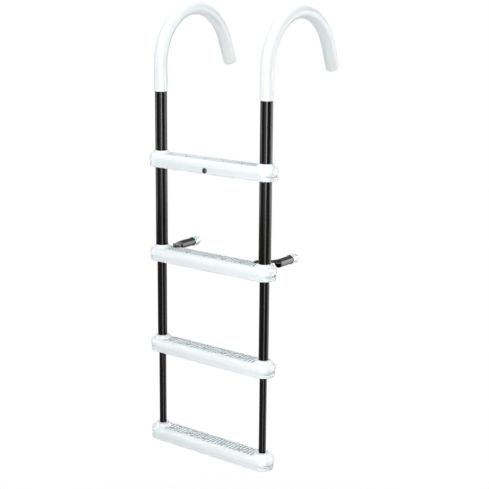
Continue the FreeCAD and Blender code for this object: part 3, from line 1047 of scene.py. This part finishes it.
@dataclass
class TreadGrip:
    """Rounded crowns on the ribs of every tread: straight, short, hooked and the small lenses.

    Lengths across the tread are measured from the line through the rails.
    """

    ladder: Ladder
    shapes: PathShapes
    ribs_per_bay: int = 6
    full_ribs: tuple[int, ...] = (0, 4, 5)
    short_ribs: tuple[int, ...] = (1, 2)
    hooked_rib: int = 3
    lens_rib: int = 1
    back: float = 0.0182
    front: float = -0.0182
    short_front: float = -0.0012
    half_width: float = 0.0026
    half_height: float = 0.0013
    crown: float = 0.001
    end_drop: float = 0.96
    line_points: int = 8
    hook_points: int = 14
    hook_radius: float = 0.0065
    hook_bend_start: float = -0.0079
    hook_foot: float = 0.0036
    foot_swell: float = 0.32
    swell_start: float = 0.62
    swell_length: float = 0.25
    lens_length: float = 0.0108
    lens_half_width: float = 0.003
    lens_y: float = -0.015
    pad_x: float = 0.13425
    pad_y: float = 0.020
    pad_clear: float = 0.0128
    pad_step: int = 2
    ease: float = 0.86

    def tree(self) -> bpy.types.NodeTree:
        """Geometry Nodes tree that lays every crown of one tread.

        Returns:
            The tree.
        """
        size = self.ladder
        inputs = {
            "Rim Height": 0.0,
            "Rail Y": size.rail_y,
            "Bays": size.bays,
            "Bay": size.bay,
            "Pitch": size.bay / self.ribs_per_bay,
            "Back": self.back,
            "Front": self.front,
            "Short Front": self.short_front,
            "Half Width": self.half_width,
            "Half Height": self.half_height,
            "Crown": self.crown,
            "Hook Radius": self.hook_radius,
            "Pad Clear": 0.0,
            "Plastic": "Material",
        }
        w, given = node_group("Geometry", "tread_grip", inputs)
        full = [self.ribs_at(w, given, rib, 1 if rib == 0 else 0) for rib in self.full_ribs]
        short = [self.ribs_at(w, given, rib) for rib in self.short_ribs]
        parts = []
        for points, front in ((full, given["Front"]), (short, given["Short Front"])):
            laid = self.straight(w, given, points, front)
            parts.append(self.rounded(w, laid, given["Half Width"], self.half_width))
        crowns = w.joined([*parts, self.hooked(w, given), self.lenses(w, given)])
        x, y, z = w.position()
        flat = w.per(given["Half Height"], given["Half Width"])
        height = w.least(w.times(z, flat), given["Crown"])
        level = w.minus(given["Rim Height"], given["Crown"])
        placed = w.placed(crowns, x, w.plus(y, given["Rail Y"]), w.plus(height, level))
        return w.close(Geometry=w.painted(placed, given["Plastic"]))

    @staticmethod
    def ribs_at(w: Wiring, given: Any, rib: int, first_bay: int = 0) -> Any:
        """Points where one rib of each bay stands.

        Args:
            w: Wiring of the tree.
            given: Inputs of the tree.
            rib: Number of the rib in its bay, from 0.
            first_bay: First bay that has it.

        Returns:
            The socket with the points.
        """
        bays = w.minus(float(first_bay), w.per(given["Bays"], 2.0))
        x = w.plus(w.times(bays, given["Bay"]), w.times(given["Pitch"], float(rib)))
        return w.add("GeometryNodeMeshLine", {
            "Count": w.minus(given["Bays"], float(first_bay)),
            "Start Location": w.vector(x, 0.0, 0.0),
            "Offset": w.vector(given["Bay"], 0.0, 0.0),
        }, mode="OFFSET").outputs[0]

    @staticmethod
    def set_out(w: Wiring, points: Any, shape: Any) -> Any:
        """Puts a copy of a shape at each point, as real geometry."""
        copies = w.add("GeometryNodeInstanceOnPoints", {"Points": points, "Instance": shape})
        return w.real(copies.outputs[0])

    def unit_line(self, w: Wiring, way: tuple[float, float, float]) -> Any:
        """Line of a few points, one metre long in all.

        Args:
            w: Wiring of the tree.
            way: Its direction, of length 1.

        Returns:
            The socket with the line.
        """
        offset = tuple(v / (self.line_points - 1) for v in way)
        feeds = {"Count": self.line_points, "Offset": offset}
        return w.add("GeometryNodeMeshLine", feeds, mode="OFFSET").outputs[0]

    def straight(self, w: Wiring, given: Any, points: list[Any], front: Any) -> Any:
        """Lines of straight ribs from the front to the back, or to the edge of a pivot's pad.

        Args:
            w: Wiring of the tree.
            given: Inputs of the tree.
            points: Points where the ribs stand.
            front: Socket with the place of their front ends.

        Returns:
            The socket with the lines.
        """
        laid = self.set_out(w, w.joined(points), self.unit_line(w, (0.0, 1.0, 0.0)))
        x, share, _ = w.position()
        dx = w.minus(w.math("ABSOLUTE", x), self.pad_x)
        clear = w.times(given["Pad Clear"], given["Pad Clear"])
        cut = w.math("SQRT", w.most(w.minus(clear, w.times(dx, dx)), 0.0))
        length = w.minus(w.least(given["Back"], w.minus(self.pad_y, cut)), front)
        y = w.plus(front, w.times(self.shapes.eased(w, share, self.ease), length))
        return w.placed(laid, x, y, 0.0)

    def rounded(self, w: Wiring, lines: Any, radius: Any, rounding: Any) -> Any:
        """Crowns with rounded ends along lines."""
        drop = w.times(radius, self.end_drop)
        return w.group(
            self.shapes.soft_tube, Path=lines, Radius=radius, Start_Round=rounding,
            Start_Drop=drop, End_Round=rounding, End_Drop=drop,
        )[0]

    def hooked(self, w: Wiring, given: Any) -> Any:
        """Hooked crowns, whose thicker foot turns to the left.

        Args:
            w: Wiring of the tree.
            given: Inputs of the tree.

        Returns:
            The socket with the crowns.
        """
        path = w.group(
            self.shapes.bent_path, Points=self.hook_points, First=self.back - self.hook_bend_start,
            Radius=given["Hook Radius"], Turn=math.pi / 2, Last=self.hook_foot, Ease=self.ease,
        )[0]
        along, across, _ = w.position()
        turned = w.placed(path, w.times(across, -1.0), w.minus(given["Back"], along), 0.0)
        laid = self.set_out(w, self.ribs_at(w, given, self.hooked_rib), turned)
        factor = w.add("GeometryNodeSplineParameter").outputs["Factor"]
        swell = w.per(w.minus(factor, self.swell_start), self.swell_length, clamp=True)
        share = w.plus(1.0, w.times(swell, self.foot_swell))
        return self.rounded(w, laid, w.times(share, given["Half Width"]), self.half_width)

    def lenses(self, w: Wiring, given: Any) -> Any:
        """Small lens in front of the first short rib of each bay.

        Args:
            w: Wiring of the tree.
            given: Inputs of the tree.

        Returns:
            The socket with the lenses.
        """
        line = self.unit_line(w, (1.0, 0.0, 0.0))
        share, _, _ = w.position()
        middle = w.minus(self.shapes.eased(w, share, self.ease), 0.5)
        sized = w.placed(line, w.times(middle, self.lens_length), self.lens_y, 0.0)
        laid = self.set_out(w, self.ribs_at(w, given, self.lens_rib), sized)
        return self.rounded(w, laid, self.lens_half_width, self.lens_length / 2)

    def build(self, plastic: bpy.types.Material) -> None:
        """Grows the crowns of all four treads.

        Args:
            plastic: Their material.
        """
        tree = self.tree()
        bodies = ("upper_frame", "upper_frame", "middle_section", "lower_section")
        for step, body in enumerate(bodies, start=1):
            name = "tread_grip_%d" % step
            clear = self.pad_clear if step == self.pad_step else 0.0
            values = {"Rim Height": self.ladder.rim(step), "Pad Clear": clear, "Plastic": plastic}
            piece = grown(name, tree, values)
            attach(piece, body)
            LOG.info("%s has %d faces", name, len(piece.data.polygons))


@dataclass
class SoftCaps:
    """Soft caps on the stand-off tubes, with a rolled mouth and a rounded crown.

    The lip's points are offsets from the outer radius and heights over the mouth.
    """

    wall: float = 0.0015
    end: float = 0.005
    mouth_chamfer: tuple[float, float] = (0.5 * MM, 0.6 * MM)
    lip: tuple[tuple[float, float], ...] = (
        (-0.3 * MM, 0.0), (0.3 * MM, 0.5 * MM), (0.5 * MM, 1.4 * MM), (0.25 * MM, 2.4 * MM),
        (0.0, 3.2 * MM),
    )
    bulge: float = 0.0003
    bulge_at: tuple[float, ...] = (0.3, 0.5, 0.7)
    crown: float = 5.5 * MM
    crown_parts: int = 8
    dish: tuple[tuple[float, float], ...] = ((0.6, 0.0), (0.25, 0.15 * MM), (0.0, 0.2 * MM))

    def profile(self, radius: float, length: float) -> list[tuple[float, float]]:
        """Half section of a cap from its bore's bottom, round the mouth, to the crown's middle.

        Args:
            radius: Outer radius.
            length: Whole length.

        Returns:
            Pairs of radius and height.
        """
        bore, bottom = radius - self.wall, length - self.end
        out, up = self.mouth_chamfer
        points = [(0.0, bottom), (bore, bottom), (bore, up), (bore + out, 0.0)]
        points += [(radius + offset, height) for offset, height in self.lip]
        for share in self.bulge_at:
            points.append((radius + self.bulge * math.sin(math.pi * share), length * share))
        flat = radius - self.crown
        for i in range(self.crown_parts + 1):
            angle = math.radians(90 * i / self.crown_parts)
            rise = self.crown * math.sin(angle)
            points.append((flat + self.crown * math.cos(angle), length - self.crown + rise))
        return points + [(flat * share, length - depth) for share, depth in self.dish]

    def build(self, rubber: bpy.types.Material) -> None:
        """Turns both caps and hides the plain ones.

        Args:
            rubber: Their material.
        """
        upright = Matrix.Rotation(math.radians(-90), 4, "X")
        for side in Side:
            low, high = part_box("standoff_cap_" + side.word)
            middle = (low + high) / 2
            axis = Matrix.Translation((middle.x, low.y, middle.z)) @ upright
            name = "soft_cap_" + side.word
            piece = lathe(name, self.profile((high.x - low.x) / 2, high.y - low.y), axis)
            piece.data.materials.append(rubber)
            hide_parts("standoff_cap_" + side.word)
            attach(piece, "standoff_" + side.word)
            LOG.info("%s has %d faces", name, len(piece.data.polygons))


@dataclass(frozen=True)
class Lamp:
    """Soft panel that faces the ladder's upright middle line.

    Its bearing is in degrees, 0 towards the camera and positive to the right. The rest are its
    metres across and high, the heights of its middle and of what it faces, the brightness of its
    surface, where 1 is white, its metres from the ladder's middle and what it works on.
    """

    name: str
    bearing: float
    size: tuple[float, float]
    middle: float
    aim: float
    radiance: float
    distance: float = 2.2
    reach: Reach = Reach.ALL


LAMPS = (
    Lamp("front_panel", -14.0, (1.4, 0.9), middle=-0.45, aim=-0.8, radiance=5.5, distance=1.9),
    Lamp("top_panel", 0.0, (2.6, 2.6), middle=3.5, aim=-0.6, radiance=6.2, distance=0.9),
    Lamp("upper_streak", 5.0, (0.55, 0.95), -0.275, -0.275, radiance=52.0, reach=Reach.GLOSS),
    Lamp("lower_streak", 5.0, (0.65, 1.45), -1.475, -1.475, radiance=20.0, reach=Reach.GLOSS),
    Lamp("right_glow", 96.0, (2.4, 1.3), -0.3, -0.3, radiance=12.0, reach=Reach.GLOSS),
    Lamp("lower_right_glow", 96.0, (2.4, 1.3), -1.6, -1.6, radiance=6.0, reach=Reach.GLOSS),
    Lamp("left_glow", -97.0, (0.5, 1.3), -0.3, -0.3, radiance=19.0, reach=Reach.GLOSS),
    Lamp("back_fill", 172.0, (1.8, 1.2), -0.2, -0.6, radiance=3.2, reach=Reach.SHADING),
)


@dataclass
class Studio:
    """White floor and backdrop, soft lamps and the camera."""

    bounds: tuple[Vector, Vector]
    focal_px: float = 1132.0
    image_px: float = 489.0
    sensor: float = 36.0
    centre_px: tuple[float, float] = (244.5, 222.0)
    yaw: float = math.radians(36.48)
    pitch: float = math.radians(12.421)
    roll: float = math.radians(-0.516)
    eye: tuple[float, float, float] = (1.762761, -2.382361, 0.110)
    clip: tuple[float, float] = (0.01, 60.0)
    world_colour: Colour = (0.86, 0.96, 1.0, 1.0)
    world_strength: float = 0.26
    floor_white: Colour = (0.86, 0.86, 0.86, 1.0)
    floor_roughness: float = 0.9
    floor_drop: float = 1.2
    floor_reach: float = 40.0
    floor_near: float = 1.0
    floor_far: float = 2.4
    floor_glow: float = 0.8

    def camera(self) -> None:
        """Makes the camera at the photograph's place."""
        data = bpy.data.cameras.new("photo_camera")
        data.sensor_width = self.sensor
        data.lens = self.focal_px / self.image_px * data.sensor_width
        data.shift_x = 0.5 - self.centre_px[0] / self.image_px
        data.shift_y = self.centre_px[1] / self.image_px - 0.5
        data.clip_start, data.clip_end = self.clip
        level = Vector((math.cos(self.yaw), math.sin(self.yaw), 0.0))
        ahead = Vector((-math.sin(self.yaw), math.cos(self.yaw), 0.0))
        forward = ahead * math.cos(self.pitch) - Vector((0.0, 0.0, math.sin(self.pitch)))
        down = forward.cross(level)
        right = level * math.cos(self.roll) + down * math.sin(self.roll)
        down = down * math.cos(self.roll) - level * math.sin(self.roll)
        turn = Matrix((right, -down, -forward)).transposed().to_4x4()
        camera = linked("photo_camera", data)
        camera.matrix_world = Matrix.Translation(self.eye) @ turn
        bpy.context.scene.camera = camera

    def panel(self, lamp: Lamp) -> None:
        """Hangs one lamp.

        Args:
            lamp: The lamp.
        """
        low, high = self.bounds
        angle = self.yaw + math.radians(lamp.bearing)
        way = Vector((math.sin(angle), -math.cos(angle), 0.0))
        target = Vector(((low.x + high.x) / 2, (low.y + high.y) / 2, lamp.aim))
        place = target + way * lamp.distance
        place.z = lamp.middle
        data = bpy.data.lights.new(lamp.name, "AREA")
        data.shape = "RECTANGLE"
        data.size, data.size_y = lamp.size
        data.energy = lamp.radiance * math.pi * lamp.size[0] * lamp.size[1]
        item = linked(lamp.name, data)
        item.location = place
        item.rotation_euler = (target - place).to_track_quat("-Z", "Y").to_euler()
        item.visible_camera = False
        item.visible_diffuse = lamp.reach is not Reach.GLOSS
        item.visible_glossy = lamp.reach is not Reach.SHADING

    @staticmethod
    def seen_white(w: Wiring) -> Any:
        """Mask of the rays that see the background: camera, gloss and glass.

        Args:
            w: Wiring of the material or world.

        Returns:
            The socket with the mask.
        """
        rays = w.add("ShaderNodeLightPath").outputs
        gloss = w.most(rays["Is Glossy Ray"], rays["Is Transmission Ray"])
        return w.most(rays["Is Camera Ray"], gloss)

    def world(self) -> None:
        """Soft cool light all round, behind a background that the camera sees as white."""
        world = bpy.data.worlds.new("studio_world")
        world.use_nodes = True
        bpy.context.scene.world = world
        w = Wiring(world.node_tree)
        light = w.find("ShaderNodeBackground")
        light.inputs["Color"].default_value = self.world_colour
        light.inputs["Strength"].default_value = self.world_strength
        white = w.add("ShaderNodeBackground", {"Color": (1.0, 1.0, 1.0, 1.0)})
        blend = w.mix_shaders(self.seen_white(w), light.outputs[0], white.outputs[0])
        w.feed(w.find("ShaderNodeOutputWorld").inputs["Surface"], blend)

    def floor(self) -> None:
        """Lays the white floor well under the hanging ladder, where it takes a soft shadow."""
        low, high = self.bounds
        centre = (low + high) / 2
        level, reach = low.z - self.floor_drop, self.floor_reach
        corners = [(-reach, -reach), (reach, -reach), (reach, reach), (-reach, reach)]
        mesh = bpy.data.meshes.new("studio_floor")
        points = [(centre.x + x, centre.y + y, level) for x, y in corners]
        mesh.from_pydata(points, [], [(0, 1, 2, 3)])
        mesh.materials.append(self.floor_paint(centre))
        floor = linked("studio_floor", mesh)
        floor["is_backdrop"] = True

    def floor_paint(self, centre: Vector) -> bpy.types.Material:
        """White floor that is matt near the ladder and plain white far off.

        Args:
            centre: Middle of the ladder.

        Returns:
            The material.
        """
        material, w, shader = new_material("white_floor", {
            "Base Color": self.floor_white,
            "Roughness": self.floor_roughness,
            "Specular IOR Level": 0.0,
        })
        x, y, _ = w.split(w.add("ShaderNodeTexCoord").outputs["Object"])
        away = w.distance(w.minus(x, centre.x), w.minus(y, centre.y))
        far = w.per(w.minus(away, self.floor_near), self.floor_far - self.floor_near, clamp=True)
        share = w.plus(self.floor_glow, w.times(far, 1.0 - self.floor_glow))
        glow = w.add("ShaderNodeEmission").outputs[0]
        blend = w.mix_shaders(w.times(self.seen_white(w), share), shader.outputs[0], glow)
        w.feed(w.find("ShaderNodeOutputMaterial").inputs["Surface"], blend)
        return material

    def build(self) -> None:
        """Sets up camera, floor, world and lamps."""
        self.camera()
        self.floor()
        self.world()
        for lamp in LAMPS:
            self.panel(lamp)
        bpy.context.scene.view_settings.view_transform = "Standard"


def main(nodes: dict[str, bpy.types.Object]) -> None:
    """Builds the studio and every sub-assembly in order.

    Args:
        nodes: The CAD nodes' objects by name.
    """
    cad_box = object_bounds()
    ladder = Ladder()
    Studio(cad_box).build()
    paints = Paints(ladder)
    paints.dress(nodes)
    shapes = PathShapes()
    HookSleeves(ladder, shapes).build(paints.sleeve)
    TreadGrip(ladder, shapes).build(paints.step)
    SoftCaps().build(paints.cap)


if __name__ == "__main__":
    logging.basicConfig(level=logging.INFO)
    main(frame["nodes"])
